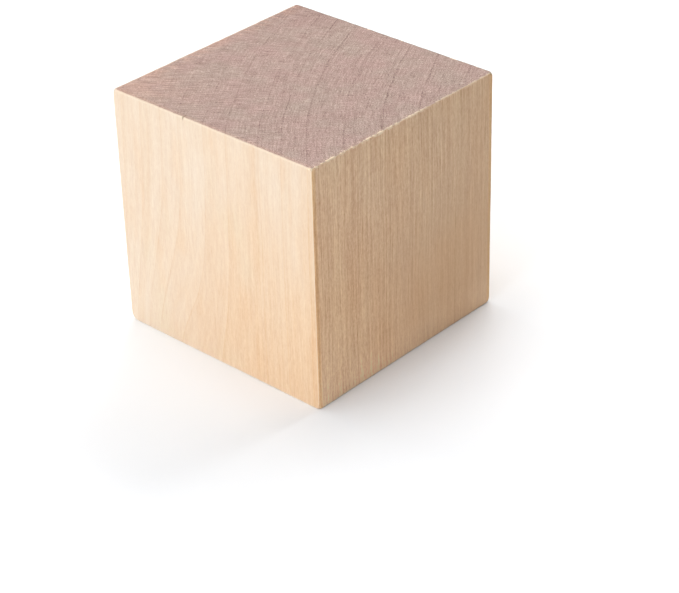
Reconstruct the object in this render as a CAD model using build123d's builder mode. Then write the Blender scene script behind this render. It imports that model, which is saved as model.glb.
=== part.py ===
from build123d import *
import os

os.makedirs("parts", exist_ok=True)

# A solid hardwood cube, sawn square from one stick and cross-cut to length.
# The wood fibres run along Z, so the top and the underside are end grain and
# the four upright faces are long grain. The whole object is one piece.
#
# Frame: millimetres, +Z up, origin at the middle of the underside.
# -Y is the flat-sawn face with the arched figure, +X the quarter-sawn one.

# ---- driving dimensions -----------------------------------------------------

side = 50.8             # two inches: width, depth and cut length alike
arris_radius = 0.30     # all twelve edges are broken with fine paper
half = side / 2

# Handling has worn the eight corners back a little, each by its own amount.
# The number is how far along each edge the wear reaches, before the edge
# rounding runs over it.
corner_wear = {
    # (x side, y side, z side): reach
    (-1, -1, +1): 0.45,
    (+1, -1, +1): 0.60,
    (+1, +1, +1): 0.60,
    (-1, +1, +1): 0.45,
    (-1, -1, -1): 1.10,
    (+1, -1, -1): 0.70,
    (+1, +1, -1): 0.85,
    (-1, +1, -1): 0.90,
}

# A splinter has lifted out of the top edge of the -Y face and left a small
# V-shaped nick that tapers away down the grain.
nick_x = -6.6           # along the edge, from the middle
nick_width = 0.42       # across the grain, at the edge
nick_length = 0.85      # down the grain, from the top face
nick_depth = 0.40       # into the -Y face, at the top face

# ---- the block --------------------------------------------------------------

with BuildPart() as cube_block:
    # square section of the stick, cut off at its length
    with BuildSketch(Plane.XY) as stick_section:
        Rectangle(side, side)
    extrude(amount=side)

    # worn corners: a plane square to the corner's diagonal takes the tip off
    for (sx, sy, sz), reach in corner_wear.items():
        tip = Vector(sx * half, sy * half, half + sz * half)
        outward = Vector(sx, sy, sz).normalized()
        wear_plane = Plane(
            origin=tip - outward * (reach / 3**0.5),
            z_dir=outward,
        )
        split(bisect_by=wear_plane, keep=Keep.BOTTOM)

    # broken arrises, carried round the worn corners as well
    fillet(cube_block.edges(), radius=arris_radius)

    # the nick: its mouth is a triangle in the plane of the top face, and it
    # runs out to nothing at a point on the -Y face below
    with BuildSketch(Plane.XY.offset(side)) as nick_mouth:
        with BuildLine():
            Polyline(
                (nick_x - nick_width / 2, -half - 0.01),
                (nick_x + nick_width / 2, -half - 0.01),
                (nick_x + 0.04, -half + nick_depth),
                close=True,
            )
        make_face()
    with BuildSketch(Plane.XY.offset(side - nick_length)) as nick_tail:
        with BuildLine():
            Polyline(
                (nick_x - 0.05, -half - 0.01),
                (nick_x + 0.05, -half - 0.01),
                (nick_x + 0.01, -half + 0.03),
                close=True,
            )
        make_face()
    loft(sections=[nick_mouth.sketch, nick_tail.sketch], ruled=True, mode=Mode.SUBTRACT)

cube_block.part.label = "cube_block"
export_step(cube_block.part, "parts/cube_block.step")

print("cube_block volume mm3:", round(cube_block.part.volume, 1))
box = cube_block.part.bounding_box()
print("size mm:", round(box.size.X, 3), round(box.size.Y, 3), round(box.size.Z, 3))
print("solids:", len(cube_block.part.solids()), "faces:", len(cube_block.part.faces()))
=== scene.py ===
import math

import bpy
import numpy as np
from mathutils import Matrix, Vector


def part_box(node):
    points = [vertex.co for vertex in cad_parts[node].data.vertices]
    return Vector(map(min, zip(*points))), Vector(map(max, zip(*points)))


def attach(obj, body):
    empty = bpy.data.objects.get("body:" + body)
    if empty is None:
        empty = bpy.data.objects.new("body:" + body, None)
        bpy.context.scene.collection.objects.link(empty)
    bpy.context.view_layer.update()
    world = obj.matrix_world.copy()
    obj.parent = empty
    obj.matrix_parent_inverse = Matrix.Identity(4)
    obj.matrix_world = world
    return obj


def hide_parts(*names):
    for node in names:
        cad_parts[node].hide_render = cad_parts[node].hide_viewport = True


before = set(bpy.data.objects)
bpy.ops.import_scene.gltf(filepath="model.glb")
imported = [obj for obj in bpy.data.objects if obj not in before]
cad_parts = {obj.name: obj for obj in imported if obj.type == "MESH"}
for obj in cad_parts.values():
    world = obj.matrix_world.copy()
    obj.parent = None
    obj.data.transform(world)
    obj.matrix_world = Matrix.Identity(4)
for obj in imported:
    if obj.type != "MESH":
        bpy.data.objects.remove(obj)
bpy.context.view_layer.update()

# The CAD box, before anything is replaced.
node_lo, node_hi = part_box("cube_block")

# Everything below is worked out in millimetres and turned into metres at the end.
MM = 0.001
SIDE = (node_hi.x - node_lo.x) / MM
HALF = SIDE / 2
TOP = node_hi.z / MM

# Growth rings: the pith of the tree lay outside the block, off its +X +Y corner. Ring boundaries
# are given as distances from it.
PITH = (120.8, 75.2)
RINGS = [104.0, 108.6, 113.2, 119.4, 125.8, 132.8, 139.4, 143.8, 147.8, 154.0, 158.3, 163.6,
         167.3, 171.6, 175.8, 180.0]

# ---------------------------------------------------------------------------------------------
# camera
# ---------------------------------------------------------------------------------------------
scene = bpy.context.scene
camera_data = bpy.data.cameras.new("camera")
camera = bpy.data.objects.new("camera", camera_data)
scene.collection.objects.link(camera)
camera_data.sensor_width = 36.0
camera_data.lens = 113.44
camera_data.clip_start, camera_data.clip_end = 0.02, 50.0
right = Vector((0.7432, 0.6686, -0.0233))
back = Vector((0.5799, -0.6264, 0.5208)).normalized()
up = back.cross(right).normalized()
right = up.cross(back).normalized()
camera.matrix_world = Matrix((
    (right.x, up.x, back.x, 0.2523872),
    (right.y, up.y, back.y, -0.2642275),
    (right.z, up.z, back.z, 0.2257745),
    (0, 0, 0, 1),
))
scene.camera = camera


# ---------------------------------------------------------------------------------------------
# the block's mesh
# ---------------------------------------------------------------------------------------------
def wave(x, length, seed):
    """Smooth one-dimensional noise from -1 to 1, with about this wavelength, the same each run."""
    rng = np.random.default_rng(seed)
    values = rng.uniform(-1, 1, 4096)
    t = np.asarray(x, float) / length + 1000.0
    i = np.floor(t).astype(int)
    f = t - i
    f = f * f * (3 - 2 * f)
    return values[i % 4096] * (1 - f) + values[(i + 1) % 4096] * f


EDGE_STEPS = [0, 0.028, 0.06, 0.096, 0.138, 0.186, 0.24, 0.305, 0.385, 0.49, 0.63, 0.83, 1.1, 1.5]


def nodes_along(middle, extra=()):
    """Grid lines from -HALF to HALF: close together over the eased arrises, even between."""
    low = [-HALF + s for s in EDGE_STEPS]
    inner = np.linspace(low[-1], -low[-1], middle + 1)[1:-1]
    line = sorted(set(low) | set(-v for v in low) | set(inner.tolist()))
    for lo, hi, n in extra:
        line = [v for v in line if not lo < v < hi] + np.linspace(lo, hi, n).tolist()
    return np.array(sorted(set(np.round(line, 6).tolist())))


NICK_X, NICK_WIDTH, NICK_LENGTH, NICK_DEPTH = -6.6, 0.42, 0.85, 0.40
xs = nodes_along(82, [(NICK_X - 0.42, NICK_X + 0.42, 13)])
ys = nodes_along(142)
zs = nodes_along(60)
nx, ny, nz = len(xs) - 1, len(ys) - 1, len(zs) - 1

# One vertex for every grid point on the surface of the cube, shared between the faces.
I, J, K = np.meshgrid(np.arange(nx + 1), np.arange(ny + 1), np.arange(nz + 1), indexing="ij")
on_skin = (I == 0) | (I == nx) | (J == 0) | (J == ny) | (K == 0) | (K == nz)
number = np.full(on_skin.shape, -1, np.int64)
number[on_skin] = np.arange(on_skin.sum())
p = np.stack([xs[I[on_skin]], ys[J[on_skin]], zs[K[on_skin]]], axis=1)

# How round each arris is, point by point. The ones round the end grain are a little ragged.
radius = np.full(len(p), 0.30)
for a in range(3):
    b, c = [k for k in range(3) if k != a]
    for sb in (-1, 1):
        for sc in (-1, 1):
            seed = 100 + a * 10 + (sb + 1) * 2 + (sc + 1)
            gap = np.maximum(HALF - sb * p[:, b], HALF - sc * p[:, c])
            near = np.exp(-(gap / 1.3) ** 2)
            slow, fast = 0.05, 0.025
            if a != 2:  # an edge of an end-grain face
                slow, fast = 0.05, 0.055
                if a == 1 and sb < 0:
                    radius += near * 0.14
                if a == 1 and sb > 0 and sc > 0:  # +X and top: torn along the fibres' ends
                    slow, fast = 0.08, 0.17
            radius += near * (slow * wave(p[:, a], 7.0, seed) + fast * wave(p[:, a], 0.9, seed + 50))

# The corners are worn back further, each by its own amount, as in the CAD.
WEAR = {(-1, -1, 1): 0.45, (1, -1, 1): 0.60, (1, 1, 1): 0.60, (-1, 1, 1): 0.45,
        (-1, -1, -1): 1.10, (1, -1, -1): 0.70, (1, 1, -1): 0.85, (-1, 1, -1): 0.90}
for corner, reach in WEAR.items():
    gap = np.linalg.norm(p - HALF * np.array(corner), axis=1)
    radius += (reach - 0.20) * np.exp(-(gap / (0.25 + 0.42 * reach)) ** 2)
radius = np.clip(radius, 0.14, 1.4)

# Round the cube: each point is held at its own radius from the core that the arrises leave.
core = np.clip(p, -(HALF - radius)[:, None], (HALF - radius)[:, None])
out = p - core
length = np.linalg.norm(out, axis=1)
v = core + out / length[:, None] * radius[:, None]
rounding = (np.abs(out) > 1e-9).sum(axis=1) > 1  # on an arris or a corner

# Faces: sanding has dubbed them over by a few hundredths towards the arrises.
skin_gap = np.sort(HALF - np.abs(p), axis=1)  # 0 for the face, then the nearest and next edge
edge_gap = skin_gap[:, 1]
face_axis = np.argmax(np.abs(p), axis=1)
normal = np.zeros_like(p)
normal[np.arange(len(p)), face_axis] = np.sign(p[np.arange(len(p)), face_axis])
dub = 0.035 * np.exp(-edge_gap / 1.4) * np.clip(edge_gap / 0.3, 0, 1)

# Relief of the wood itself: rings stand a hair proud on the end grain, and the long grain has a
# faint ripple that runs with the fibres.
ring_r = np.hypot(v[:, 0] - PITH[0], v[:, 1] - PITH[1])
phase = np.interp(ring_r, RINGS, np.arange(len(RINGS)))
ring_relief = 0.014 * (1 - (phase - np.floor(phase)) ** 3)
across = np.where(face_axis == 0, p[:, 1], p[:, 0])
ripple = 0.006 * (1 + wave(across, 2.4, 11)) + 0.004 * (1 + wave(across + 0.02 * p[:, 2], 5.5, 12))
relief = np.where(face_axis == 2, ring_relief, ripple) * np.clip(edge_gap / 0.8, 0, 1)
v = v - normal * (dub + relief)[:, None]

# The nick in the top edge of the -Y face.
depth_along = np.clip((v[:, 2] - (HALF - NICK_LENGTH)) / NICK_LENGTH, 0, 1)
half_width = 0.05 + (NICK_WIDTH / 2 - 0.05) * depth_along
vee = NICK_DEPTH * depth_along * np.clip(1 - np.abs(v[:, 0] - NICK_X) / half_width, 0, 1)
into = v[:, 1] + HALF
reach = 0.95
v[:, 1] = np.where(into < reach, -HALF + vee + into * (1 - vee / reach), v[:, 1])
nick_mask = np.clip(vee / 0.12, 0, 1) * (into < reach)

v = np.clip(v, -HALF, HALF)
v[:, 2] += HALF  # the block stands on z = 0


def sheet(n0, n1, pick, flip):
    """Quads of one face of the cube."""
    i, j = np.meshgrid(np.arange(n0), np.arange(n1), indexing="ij")
    i, j = i.ravel(), j.ravel()
    quad = np.stack([pick(i, j), pick(i + 1, j), pick(i + 1, j + 1), pick(i, j + 1)], axis=1)
    return quad[:, ::-1] if flip else quad


quads = [
    sheet(nx, ny, lambda i, j: number[i, j, nz], False),   # top
    sheet(nx, ny, lambda i, j: number[i, j, 0], True),     # underside
    sheet(nx, nz, lambda i, j: number[i, 0, j], False),    # -Y
    sheet(nx, nz, lambda i, j: number[i, ny, j], True),    # +Y
    sheet(ny, nz, lambda i, j: number[nx, i, j], False),   # +X
    sheet(ny, nz, lambda i, j: number[0, i, j], True),     # -X
]
face_of_quad = np.concatenate([np.full(len(q), k) for k, q in enumerate(quads)])
quads = np.concatenate(quads)

mesh = bpy.data.meshes.new("hardwood_cube")
mesh.from_pydata((v * MM).tolist(), [], quads.tolist())
mesh.validate()
mesh.update()
mesh.polygons.foreach_set("use_smooth", np.ones(len(mesh.polygons), bool))

# Point attributes that the finish reads: how near a point is to an arris of the end grain (rim) or
# to one of the four that run with the fibres (arris), fading out over 1.5 mm, and the nick.
gap_to = HALF - np.abs(p)
rim = 1 - np.minimum(np.maximum(gap_to[:, 1], gap_to[:, 2]), np.maximum(gap_to[:, 0], gap_to[:, 2])) / 1.5
arris = 1 - np.maximum(gap_to[:, 0], gap_to[:, 1]) / 1.5
for name, values in (("rim", np.clip(rim, 0, 1)), ("arris", np.clip(arris, 0, 1)), ("nick", nick_mask)):
    mesh.attributes.new(name, "FLOAT", "POINT").data.foreach_set("value", values.astype(np.float32))

# A flat layout for baking: six cells, three by two, the finer direction across the grain.
loops = np.empty(len(mesh.loops), np.int32)
mesh.loops.foreach_get("vertex_index", loops)
cell = np.repeat(face_of_quad, 4)
u01 = (p[loops] + HALF) / SIDE
pair = {0: (1, 0), 1: (1, 0), 2: (2, 0), 3: (2, 0), 4: (2, 1), 5: (2, 1)}
uv = np.zeros((len(loops), 2))
for k, (a, b) in pair.items():
    m = cell == k
    margin = 0.006
    uv[m, 0] = (k % 3) / 3 + margin + u01[m, a] * (1 / 3 - 2 * margin)
    uv[m, 1] = (k // 3) / 2 + margin + u01[m, b] * (1 / 2 - 2 * margin)
layer = mesh.uv_layers.new(name="OFBake")
layer.data.foreach_set("uv", uv.astype(np.float32).ravel())

cube = bpy.data.objects.new("hardwood_cube", mesh)
scene.collection.objects.link(cube)


# ---------------------------------------------------------------------------------------------
# shader helpers
# ---------------------------------------------------------------------------------------------
class Graph:
    def __init__(self, material):
        material.use_nodes = True
        self.tree = material.node_tree
        self.tree.nodes.clear()

    def node(self, kind, **settings):
        n = self.tree.nodes.new(kind)
        for key, value in settings.items():
            setattr(n, key, value)
        return n

    def put(self, socket, value):
        if isinstance(value, bpy.types.NodeSocket):
            self.tree.links.new(value, socket)
        elif value is not None:
            socket.default_value = value

    def math(self, op, a, b=None, c=None, clamp=False):
        n = self.node("ShaderNodeMath", operation=op, use_clamp=clamp)
        for s, x in zip(n.inputs, (a, b, c)):
            self.put(s, x)
        return n.outputs[0]

    def add(self, a, b): return self.math("ADD", a, b)
    def sub(self, a, b): return self.math("SUBTRACT", a, b)
    def mul(self, a, b): return self.math("MULTIPLY", a, b)

    def vec(self, op, a, b=None, scale=None):
        n = self.node("ShaderNodeVectorMath", operation=op)
        self.put(n.inputs[0], a)
        if b is not None:
            self.put(n.inputs[1], b)
        if scale is not None:
            self.put(n.inputs["Scale"], scale)
        return n.outputs["Value"] if op in ("LENGTH", "DOT_PRODUCT", "DISTANCE") else n.outputs[0]

    def split(self, vector):
        n = self.node("ShaderNodeSeparateXYZ")
        self.put(n.inputs[0], vector)
        return n.outputs[0], n.outputs[1], n.outputs[2]

    def join(self, x, y, z):
        n = self.node("ShaderNodeCombineXYZ")
        for s, value in zip(n.inputs, (x, y, z)):
            self.put(s, value)
        return n.outputs[0]

    def noise(self, vector, detail=2.0, rough=0.5, distortion=0.0, colour=False):
        n = self.node("ShaderNodeTexNoise", noise_dimensions="3D")
        self.put(n.inputs["Vector"], vector)
        n.inputs["Scale"].default_value = 1.0
        n.inputs["Detail"].default_value = detail
        n.inputs["Roughness"].default_value = rough
        n.inputs["Distortion"].default_value = distortion
        return n.outputs["Color"] if colour else n.outputs[0]

    def span(self, value, lo, hi, to_lo=0.0, to_hi=1.0, smooth=True):
        n = self.node("ShaderNodeMapRange", interpolation_type="SMOOTHSTEP" if smooth else "LINEAR")
        n.clamp = True
        for s, x in zip(n.inputs[:5], (value, lo, hi, to_lo, to_hi)):
            self.put(s, x)
        return n.outputs[0]

    def ramp(self, value, stops):
        n = self.node("ShaderNodeValToRGB")
        ramp = n.color_ramp
        ramp.interpolation = "LINEAR"
        while len(ramp.elements) < len(stops):
            ramp.elements.new(0.5)
        for e, (at, shade) in zip(ramp.elements, stops):
            e.position = at
            e.color = (shade, shade, shade, 1) if np.isscalar(shade) else (*shade, 1)
        self.put(n.inputs[0], value)
        return n.outputs[0]

    def mix(self, share, a, b, blend="MIX"):
        n = self.node("ShaderNodeMix", data_type="RGBA", blend_type=blend)
        self.put(n.inputs["Factor"], share)
        colours = [s for s in n.inputs if s.type == "RGBA"]
        self.put(colours[0], a if isinstance(a, bpy.types.NodeSocket) else (*a, 1))
        self.put(colours[1], b if isinstance(b, bpy.types.NodeSocket) else (*b, 1))
        return [s for s in n.outputs if s.type == "RGBA"][0]

    def scale_colour(self, colour, by):
        """The colour times a number."""
        return self.vec("SCALE", colour, scale=by)

    def attribute(self, name):
        n = self.node("ShaderNodeAttribute", attribute_name=name)
        return n.outputs["Fac"]


# ---------------------------------------------------------------------------------------------
# raw hardwood, cut from one solid: the same growth rings, fibres, rays and pores run through the
# block, and each face shows them as it cuts them
# ---------------------------------------------------------------------------------------------
wood = bpy.data.materials.new("raw_hardwood")
g = Graph(wood)

coords = g.node("ShaderNodeTexCoord")
at = g.vec("SCALE", coords.outputs["Object"], scale=1000.0)   # millimetres
px, py, pz = g.split(at)
toward_x, toward_y, toward_z = g.split(coords.outputs["Normal"])
facing_x, facing_y, facing_z = [g.math("ABSOLUTE", s) for s in (toward_x, toward_y, toward_z)]
end_share = g.span(facing_z, 0.90, 0.995)
side_x = g.span(facing_x, 0.55, 0.90)       # the +X and -X faces
side_y = g.span(facing_y, 0.55, 0.90)       # the +Y and -Y faces
side_px = g.span(toward_x, 0.55, 0.90)      # the +X face alone

# The fibres wander a little.
drift = g.vec("SUBTRACT", g.noise(g.vec("MULTIPLY", at, (0.045, 0.045, 0.022)), 1.0, colour=True), (0.5, 0.5, 0.5))
drift = g.vec("MULTIPLY", drift, (1.4, 1.4, 0.0))
fine_drift = g.vec("SUBTRACT", g.noise(g.vec("MULTIPLY", at, (0.35, 0.35, 0.05)), 1.0, colour=True), (0.5, 0.5, 0.5))
fine_drift = g.vec("MULTIPLY", fine_drift, (0.34, 0.34, 0.0))
bent = g.vec("ADD", g.vec("ADD", at, drift), fine_drift)
bx, by, bz = g.split(bent)

# Polar coordinates about the pith: distance from it, and arc length round it.
from_pith_x = g.sub(bx, PITH[0])
from_pith_y = g.sub(by, PITH[1])
r = g.math("SQRT", g.add(g.mul(from_pith_x, from_pith_x), g.mul(from_pith_y, from_pith_y)))
arc = g.mul(g.math("ARCTAN2", from_pith_y, g.mul(from_pith_x, -1.0)), 140.0)

# Low on the -X -Y corner the rings swing outwards, as they do below an old branch.
sx = g.mul(g.sub(px, -13.0), 1 / 14.0)
sy = g.mul(g.sub(py, -26.0), 1 / 15.0)
sz = g.mul(g.sub(pz, -5.0), 1 / 24.0)
swell = g.math("EXPONENT", g.mul(g.add(g.add(g.mul(sx, sx), g.mul(sy, sy)), g.mul(sz, sz)), -1.0))
r = g.sub(r, g.mul(swell, 8.0))

# Ring number, and how far through its year each point grew.
lo_r, hi_r, count = RINGS[0], RINGS[-1], len(RINGS) - 1
ring_stops = [((q - lo_r) / (hi_r - lo_r), k / count) for k, q in enumerate(RINGS)]
year = g.mul(g.ramp(g.math("DIVIDE", g.sub(r, lo_r), hi_r - lo_r), ring_stops), float(count))
through = g.math("FRACT", year)
ring_tone = g.node("ShaderNodeTexWhiteNoise", noise_dimensions="1D")
g.put(ring_tone.inputs["W"], g.math("FLOOR", year))
ring_tone = g.sub(ring_tone.outputs["Value"], 0.5)
late_line = g.span(through, 0.915, 0.985)                   # thin dark line that closes a year
late_band = g.math("POWER", through, 4.0)                  # the denser wood before it
early_line = g.span(through, 0.10, 0.0)                    # pale first wood of the next year


def centred(value, amount):
    return g.mul(g.sub(value, 0.5), amount)


def total(first, *more):
    for term in more:
        first = g.add(first, term)
    return first


# Fine layers inside each ring, running along the ring and up the fibres.
layers_fine = g.noise(g.join(g.mul(r, 3.0), g.mul(arc, 0.16), g.mul(pz, 0.030)), 2.0, 0.6)
layers_mid = g.noise(g.join(g.mul(r, 1.15), g.mul(arc, 0.05), g.mul(pz, 0.012)), 1.0, 0.5)
layers_broad = g.noise(g.join(g.mul(r, 0.42), g.mul(arc, 0.02), g.mul(pz, 0.010)), 1.0, 0.5)
stripes = g.noise(g.join(g.mul(r, 2.3), g.mul(arc, 0.02), g.mul(pz, 0.016)), 1.0, 0.5)
mottle = g.noise(g.join(g.mul(r, 0.95), g.mul(arc, 0.45), g.mul(pz, 0.085)), 2.0, 0.6)
mid_line = g.span(layers_mid, 0.54, 0.70)                  # darker growth checks inside a year
# Rays: thin sheets from the pith outwards, short along the fibres.
rays_fine = g.noise(g.join(g.mul(arc, 2.7), g.mul(r, 0.30), g.mul(pz, 0.20)), 2.0, 0.6)
rays_mid = g.noise(g.join(g.mul(arc, 1.1), g.mul(r, 0.10), g.mul(pz, 0.06)), 1.0, 0.5)
# Vessels: fine tubes along the fibres, so dots on the end grain and dashes on the sides.
vessels = g.noise(g.join(g.mul(bx, 4.6), g.mul(by, 4.6), g.mul(pz, 0.26)), 1.0, 0.5)
vessel_marks = g.span(vessels, 0.60, 0.76)
fibre = g.noise(g.join(g.mul(bx, 3.0), g.mul(by, 3.0), g.mul(pz, 0.07)), 2.0, 0.65)
fibre_short = g.noise(g.join(g.mul(bx, 3.6), g.mul(by, 3.6), g.mul(pz, 0.55)), 2.0, 0.6)
speckle = g.noise(g.vec("MULTIPLY", bent, (2.9, 2.9, 1.4)), 2.0, 0.75)
# Broad changes of colour.
cloud = g.noise(g.vec("MULTIPLY", at, (0.050, 0.050, 0.030)), 2.0, 0.5)
cloud_two = g.noise(g.vec("MULTIPLY", g.vec("ADD", at, (71.0, 13.0, 37.0)), (0.085, 0.085, 0.034)), 2.0, 0.5)
cloud_fine = g.noise(g.vec("MULTIPLY", g.vec("ADD", at, (17.0, 53.0, 7.0)), (0.34, 0.34, 0.08)), 2.0, 0.5)
patch = g.noise(g.vec("MULTIPLY", g.vec("ADD", at, (5.0, 91.0, 23.0)), (0.19, 0.19, 0.14)), 1.0, 0.5)

# --- long grain ------------------------------------------------------------------------------
# creamier sapwood at the outside of the tree, yellower and deeper towards the heart and low down
cream, honey, olive = (0.722, 0.560, 0.412), (0.724, 0.487, 0.297), (0.695, 0.548, 0.368)
deeper = total(g.mul(g.span(r, 172.0, 120.0, smooth=False), 0.42),
               g.mul(g.mul(g.span(pz, 40.0, 4.0, smooth=False), g.span(px, -22.0, 2.0, 0.15, 0.78)),
                     g.sub(1.0, g.mul(side_x, 0.8))),
               g.mul(side_x, 0.20), centred(cloud, 1.3), -0.12)
long_colour = g.mix(g.math("MINIMUM", g.math("MAXIMUM", deeper, 0.0), 1.0), cream, honey)
long_colour = g.mix(g.mul(g.span(cloud_two, 0.50, 0.70), g.sub(0.40, g.mul(side_x, 0.25))), long_colour, olive)
long_colour = g.mix(g.mul(g.span(cloud_fine, 0.50, 0.75), g.sub(0.30, g.mul(side_x, 0.15))), long_colour, honey)
# the +X and -X faces cut the rings at a slant and look deeper; on +X this warmer, deeper colour is also painted shade
# of that shaded side, so -X gets only a quarter of it
slant_and_painted_light = g.vec("SCALE", (1.095, 0.972, 0.850), scale=total(
    0.950, g.mul(g.span(py, 14.0, -24.0), 0.115),
    g.mul(g.mul(g.span(pz, 40.0, 22.0), g.span(py, -6.0, 16.0)), -0.030)))
low_front = g.mul(g.span(pz, 24.0, 1.0), g.span(py, 22.0, -18.0))
slant_and_painted_light = g.vec("MULTIPLY", slant_and_painted_light, g.vec("ADD", g.vec("SCALE", (0.10, 0.16, 0.24), scale=low_front), (1.0, 1.0, 1.0)))
# Painted light: mostly on +X, the face is made paler towards its foot, standing in for floor bounce that the contact
# shade takes away.
painted_foot_light = g.mul(g.span(pz, 9.0, -0.5), g.span(py, -25.0, -6.0, 0.35, 1.0))
middle = g.mul(g.span(g.math("ABSOLUTE", g.sub(pz, 19.0)), 15.0, 5.0), g.span(py, -18.0, -4.0))
slant_and_painted_light = g.vec("MULTIPLY", slant_and_painted_light, g.vec("ADD", g.vec("SCALE", (0.20, 0.25, 0.30), scale=painted_foot_light), (1.0, 1.0, 1.0)))
slant_and_painted_light = g.vec("SCALE", slant_and_painted_light, scale=g.sub(1.0, g.mul(middle, 0.022)))
long_colour = g.mix(total(g.mul(side_x, 0.25), g.mul(side_px, 0.75)), long_colour, g.vec("MULTIPLY", long_colour, slant_and_painted_light))
ruddy = g.vec("MULTIPLY", g.vec("ADD", at, (0.0, -12.0, -17.0)), (0.0, 1 / 7.0, 1 / 11.0))
ruddy = g.math("EXPONENT", g.mul(g.vec("DOT_PRODUCT", ruddy, ruddy), -1.0))
long_colour = g.mix(g.mul(g.mul(ruddy, side_px), 0.5), long_colour, g.vec("MULTIPLY", long_colour, (1.0, 0.93, 0.84)))

fine_y = total(centred(layers_fine, 0.12), centred(rays_fine, 0.08), centred(fibre, 0.15),
               centred(fibre_short, 0.19), centred(speckle, 0.17), g.mul(vessel_marks, -0.06))
fine_y = g.mul(fine_y, g.add(1.0, g.mul(g.mul(g.span(px, -10.0, 10.0), g.span(pz, 34.0, 10.0)), 0.45)))
strands = g.noise(g.join(g.mul(r, 5.2), g.mul(arc, 0.26), g.mul(pz, 0.045)), 2.0, 0.7)
fine_x = total(centred(layers_fine, 0.34), centred(strands, 0.46), centred(stripes, 0.20),
               centred(rays_fine, 0.14), centred(fibre, 0.24), centred(fibre_short, 0.36),
               centred(speckle, 0.42), g.mul(vessel_marks, -0.15))
# The streaks are painted far stronger on the X faces than on the Y faces, and on +X at full strength where -X gets
# 0.45: partly how the grain is cut, partly painted shading of the fibres' relief under the grazing light on +X.
fine_x = g.mul(fine_x, g.mul(g.span(py, 25.0, -2.0, 0.90, 1.25, smooth=False), g.add(0.45, g.mul(side_px, 0.55))))
fine_x = g.mul(fine_x, g.sub(1.14, g.mul(g.mul(g.span(py, -15.0, 4.0), g.span(pz, 40.0, 16.0)), 0.50)))
fine = g.add(g.mul(fine_y, g.sub(1.0, side_x)), g.mul(fine_x, side_x))
broad = total(centred(layers_mid, 0.14), g.mul(mid_line, -0.022), g.mul(late_line, -0.042),
              g.mul(late_band, -0.020), g.mul(early_line, 0.012), centred(layers_broad, 0.10),
              centred(mottle, 0.11), g.mul(ring_tone, 0.018))
# darker streaks are also more golden
broad = g.mul(broad, g.sub(1.0, g.mul(side_x, 0.40)))
broad_hue = g.vec("ADD", g.vec("SCALE", (-0.30, 0.05, 0.50), scale=side_y), (0.70, 1.05, 1.40))
tone = g.vec("ADD", g.vec("SCALE", (0.60, 1.05, 1.25), scale=fine), g.vec("SCALE", broad_hue, scale=broad))
tone = g.vec("ADD", tone, (1.0, 1.0, 1.0))
long_colour = g.vec("MULTIPLY", long_colour, tone)

# --- end grain -------------------------------------------------------------------------------
mauve, grey, rose = (0.384, 0.262, 0.221), (0.366, 0.272, 0.222), (0.400, 0.257, 0.223)
end_colour = g.mix(g.mul(g.span(patch, 0.50, 0.66), 0.45), mauve, grey)
end_colour = g.mix(g.mul(g.span(patch, 0.48, 0.34), 0.45), end_colour, rose)
end_colour = g.mix(g.mul(g.span(cloud_two, 0.50, 0.68), 0.5), end_colour, grey)
orange_side = g.mul(g.span(px, -21.0, -25.0), g.span(g.add(rays_mid, centred(cloud_fine, 0.6)), 0.40, 0.60, 0.10, 1.0))
end_colour = g.mix(g.mul(orange_side, 0.62), end_colour, (0.480, 0.290, 0.222))
corner_glow = g.vec("MULTIPLY", g.vec("ADD", at, (24.0, 23.0, 0.0)), (1 / 11.0, 1 / 9.0, 0.0))
corner_glow = g.math("EXPONENT", g.mul(g.vec("DOT_PRODUCT", corner_glow, corner_glow), -1.0))
corner_glow = g.mul(corner_glow, g.span(cloud_fine, 0.30, 0.55, 0.45, 1.0))
end_colour = g.mix(g.mul(corner_glow, 0.60), end_colour, (0.480, 0.305, 0.235))
broken = g.span(g.noise(g.join(g.mul(arc, 0.9), g.mul(r, 1.5), 0.0), 1.0, 0.5), 0.36, 0.58, 0.10, 1.0)
pored = g.span(g.noise(g.join(g.mul(arc, 1.9), g.mul(r, 1.2), 6.0), 1.0, 0.5), 0.36, 0.56, 0.15, 1.0)
ringy = g.span(r, 172.0, 138.0, 0.35, 1.0, smooth=False)   # rings show more towards the heart
rayed = g.span(r, 140.0, 165.0, 0.75, 1.25, smooth=False)  # and rays more towards the bark
threads = g.span(g.noise(g.join(g.mul(r, 3.1), g.mul(arc, 0.12), 3.0), 1.0, 0.5), 0.54, 0.68)
cross_threads = g.span(g.noise(g.join(g.mul(arc, 3.2), g.mul(r, 0.18), 9.0), 1.0, 0.5), 0.56, 0.70)
hairs = g.span(g.noise(g.join(g.mul(r, 1.9), g.mul(arc, 0.035), 5.0), 1.0, 0.5), 0.585, 0.665)
layers_end = g.noise(g.join(g.mul(r, 4.0), g.mul(arc, 0.20), 1.0), 2.0, 0.65)
rays_end = g.noise(g.join(g.mul(arc, 3.7), g.mul(r, 0.26), 2.0), 2.0, 0.65)
speckle_end = g.noise(g.vec("MULTIPLY", bent, (4.4, 4.4, 1.4)), 2.0, 0.80)
end_tone = total(g.mul(centred(layers_end, 1.05), ringy), g.mul(centred(rays_end, 1.20), rayed),
                 g.mul(centred(speckle_end, 2.40), g.span(r, 172.0, 125.0, 0.90, 1.22)),
                 g.mul(g.mul(threads, broken), 0.13), g.mul(g.mul(cross_threads, rayed), 0.12),
                 g.mul(g.mul(g.mul(late_line, pored), ringy), g.sub(-0.25, g.mul(ring_tone, 0.16))),
                 g.mul(g.mul(g.mul(hairs, pored), ringy), -0.10), g.mul(late_band, -0.016),
                 g.mul(early_line, 0.05),
                 g.mul(g.mul(g.mul(mid_line, broken), ringy), -0.04),
                 g.mul(ring_tone, 0.015), centred(cloud_fine, 0.04), 0.982)
fleck = g.span(g.noise(g.vec("MULTIPLY", bent, (2.6, 2.6, 2.0)), 0.0), 0.66, 0.76)
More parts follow.
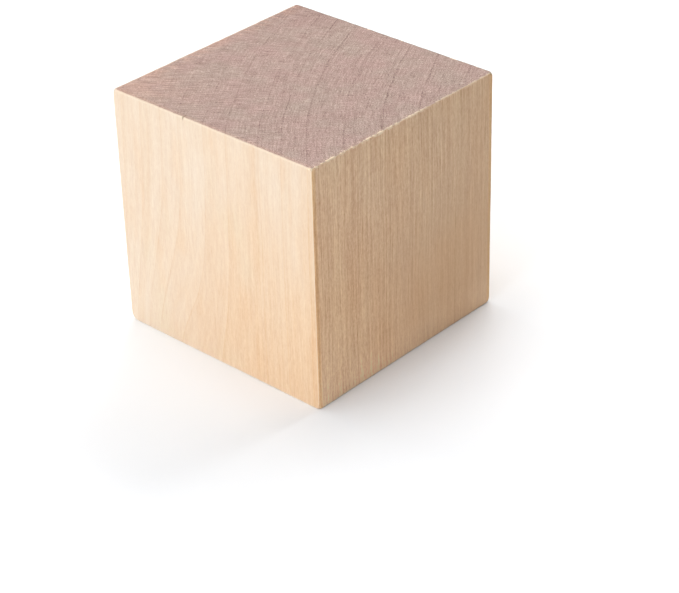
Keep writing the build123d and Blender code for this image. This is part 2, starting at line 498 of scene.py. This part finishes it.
end_tone = g.add(end_tone, g.mul(fleck, 0.24))
end_tone = g.sub(end_tone, g.span(g.sub(px, py), -28.0, -47.0, 0.0, 0.11))
end_tone = g.add(end_tone, g.span(g.sub(px, py), 30.0, 46.0, 0.0, 0.045))
end_tone = g.vec("ADD", g.vec("SCALE", (0.85, 1.02, 1.02), scale=g.sub(end_tone, 1.0)), (1.0, 1.0, 1.0))
lip = g.add(g.span(py, -24.0, -25.2), g.mul(g.span(px, 23.9, 25.1), g.span(py, 10.0, -12.0, 0.0, 0.5)))
end_tone = g.vec("MULTIPLY", end_tone, g.vec("ADD", g.vec("SCALE", (0.11, 0.07, 0.02), scale=lip), (1.0, 1.0, 1.0)))
end_colour = g.vec("MULTIPLY", end_colour, end_tone)

# --- which one shows -------------------------------------------------------------------------
rim = g.attribute("rim")       # 1 on the arrises of the end grain, 0 at 1.5 mm
arris = g.attribute("arris")   # the same for the arrises that run with the fibres
nick = g.attribute("nick")
colour = g.mix(end_share, long_colour, end_colour)

# Along the end grain's arrises the colour is painted paler: partly pale loose fibre ends, partly painted highlight
# where the arrises catch the light; a clean line on the -Y and -X sides, ragged on +X. On +Y a dark line with pale
# flecks is painted shade on the back arris.
fray = g.noise(g.vec("MULTIPLY", at, (1.5, 1.5, 1.5)), 2.0, 0.65)
beads = g.noise(g.vec("MULTIPLY", at, (0.5, 0.85, 1.6)), 2.0, 0.75)
at_x, at_y, at_nx = g.span(px, 24.3, 24.9), g.span(py, 24.3, 24.9), g.span(px, -24.3, -24.9)
clean_fibres_and_highlight = g.span(g.add(rim, g.mul(at_nx, 0.20)), 0.72, 0.90)
clean_fibres_and_highlight = g.mul(clean_fibres_and_highlight, g.span(fray, 0.34, 0.56, 0.45, 1.0))
clean_fibres_and_highlight = g.mul(clean_fibres_and_highlight, g.mul(g.sub(1.0, at_x), g.sub(1.0, at_y)))
ragged_fibres_and_highlight = g.span(g.add(rim, centred(beads, 0.55)), 0.72, 0.84)
ragged_fibres_and_highlight = g.mul(g.mul(ragged_fibres_and_highlight, g.span(beads, 0.46, 0.57, 0.05, 1.0)), at_x)
ragged_fibres_and_highlight = g.mul(ragged_fibres_and_highlight, g.span(py, -8.0, 16.0, 1.0, 0.42))
back_rim_shade_and_flecks = g.mul(g.span(rim, 0.60, 0.80), at_y)
# Painted highlight, partly pale fibres: the clean cream line.
colour = g.mix(g.mul(clean_fibres_and_highlight, 0.66), colour, g.mix(at_nx, (0.800, 0.655, 0.495), (0.690, 0.550, 0.430)))
# Painted highlight, partly pale fibres: the ragged line on +X.
colour = g.mix(g.mul(ragged_fibres_and_highlight, 0.88), colour, (0.920, 0.730, 0.520))
# Painted shade: a dark thin line along the +Y arris of the end grain, with pale flecks on it.
colour = g.mix(g.mul(back_rim_shade_and_flecks, g.span(beads, 0.60, 0.66, 0.55, 0.0)), colour, (0.230, 0.165, 0.130))
colour = g.mix(g.mul(back_rim_shade_and_flecks, g.span(beads, 0.60, 0.68, 0.0, 0.8)), colour, (0.860, 0.690, 0.500))
# The arrises that run with the fibres are burnished: a warm band just round the corner.
burnish = g.mul(g.mul(g.span(arris, 0.12, 0.62), side_x), g.span(fray, 0.30, 0.60, 0.6, 1.0))
colour = g.mix(g.mul(burnish, 0.75), colour, g.vec("MULTIPLY", colour, (1.02, 0.93, 0.70)))
# Painted highlight: a pale cream line on the Y-face side of the arrises that run with the fibres.
colour = g.mix(g.mul(g.span(arris, 0.80, 0.95), g.mul(g.sub(1.0, side_x), 0.30)), colour, (0.860, 0.730, 0.580))
# Painted shade, partly darker torn fibres: the nick is darkened in its hollow.
colour = g.mix(g.mul(nick, 0.62), colour, (0.170, 0.100, 0.052))

# --- surface ---------------------------------------------------------------------------------
height_long = total(g.mul(layers_fine, 0.020), g.mul(fibre, 0.025), g.mul(vessel_marks, -0.015))
height_end = total(g.mul(layers_fine, 0.030), g.mul(rays_fine, 0.030), g.mul(speckle, 0.045))
height = g.add(g.mul(height_end, end_share), g.mul(height_long, g.sub(1.0, end_share)))
loose_fibres_and_highlight = g.math("MAXIMUM", clean_fibres_and_highlight, ragged_fibres_and_highlight)
height = g.add(height, g.mul(g.mul(fray, loose_fibres_and_highlight), 0.05))
bump = g.node("ShaderNodeBump")
bump.inputs["Strength"].default_value = 1.0
bump.inputs["Distance"].default_value = 0.001   # height is in millimetres
g.put(bump.inputs["Height"], height)

rough = g.add(0.56, centred(fibre, 0.16))
rough = g.add(rough, g.mul(end_share, 0.16))
rough = g.add(rough, g.mul(loose_fibres_and_highlight, 0.08))

bsdf = g.node("ShaderNodeBsdfPrincipled")
g.put(bsdf.inputs["Base Color"], colour)
g.put(bsdf.inputs["Roughness"], rough)
g.put(bsdf.inputs["Normal"], bump.outputs[0])
bsdf.inputs["IOR"].default_value = 1.45
bsdf.inputs["Specular IOR Level"].default_value = 0.35
out_node = g.node("ShaderNodeOutputMaterial")
g.put(out_node.inputs["Surface"], bsdf.outputs[0])
mesh.materials.append(wood)

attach(cube, "root")
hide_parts("cube_block")

# ---------------------------------------------------------------------------------------------
# floor, world and lights
# ---------------------------------------------------------------------------------------------
floor_mesh = bpy.data.meshes.new("floor")
R = 3.0
floor_mesh.from_pydata([(-R, -R, 0), (R, -R, 0), (R, R, 0), (-R, R, 0)], [], [(0, 1, 2, 3)])
floor = bpy.data.objects.new("floor", floor_mesh)
scene.collection.objects.link(floor)
white = bpy.data.materials.new("white_table")
w = Graph(white)
paint = w.node("ShaderNodeBsdfDiffuse")
paint.inputs["Color"].default_value = (0.92, 0.92, 0.92, 1)
w.put(w.node("ShaderNodeOutputMaterial").inputs["Surface"], paint.outputs[0])
floor_mesh.materials.append(white)

world = bpy.data.worlds.new("studio")
scene.world = world
world.use_nodes = True
sky = world.node_tree.nodes["Background"]
sky.inputs["Color"].default_value = (1.0, 1.0, 1.0, 1)
sky.inputs["Strength"].default_value = 0.0


def softbox(name, azimuth, elevation, distance, width, height, radiance, colour):
    """A soft rectangular light that faces the block. Azimuth 0 is the -Y side and 90 the +X side."""
    data = bpy.data.lights.new(name, "AREA")
    data.shape = "RECTANGLE"
    data.size, data.size_y = width, height
    data.energy = radiance * math.pi * width * height
    data.color = colour
    lamp = bpy.data.objects.new(name, data)
    scene.collection.objects.link(lamp)
    a, e = math.radians(azimuth), math.radians(elevation)
    away = Vector((math.sin(a) * math.cos(e), -math.cos(a) * math.cos(e), math.sin(e)))
    aim = Vector((0, 0, TOP * MM / 2))
    lamp.location = aim + away * distance
    lamp.location.z = max(lamp.location.z, 0.21)
    away = (lamp.location - aim).normalized()
    lamp.rotation_mode = "QUATERNION"
    lamp.rotation_quaternion = away.to_track_quat("Z", "Y")
    return lamp


# A light tent: soft panels overhead, behind and low in front, and nothing from the +X side.
PANELS = [  # azimuth, elevation, radiance
    (0, 8, 5.25), (30, 8, 4.69), (330, 8, 2.40), (0, 45, 4.96),
    (315, 65, 4.19), (0, 90, 3.27), (225, 65, 2.52),
    (180, 45, 7.09), (210, 45, 4.67), (240, 45, 1.38),
    (270, 25, 4.91), (270, 8, 2.84),
]
for k, (azimuth, elevation, radiance) in enumerate(PANELS):
    tint = (0.94, 1.01, 1.09) if k < 4 else (1.0, 1.0, 1.0)   # the ones in front are a touch cooler
    softbox("panel_%02d" % k, azimuth, elevation, 1.0, 0.40, 0.40, radiance, tint)

scene.view_settings.view_transform = "Standard"
scene.view_settings.look = "None"
scene.view_settings.exposure = 0.0
scene.view_settings.gamma = 1.0

bpy.context.view_layer.update()
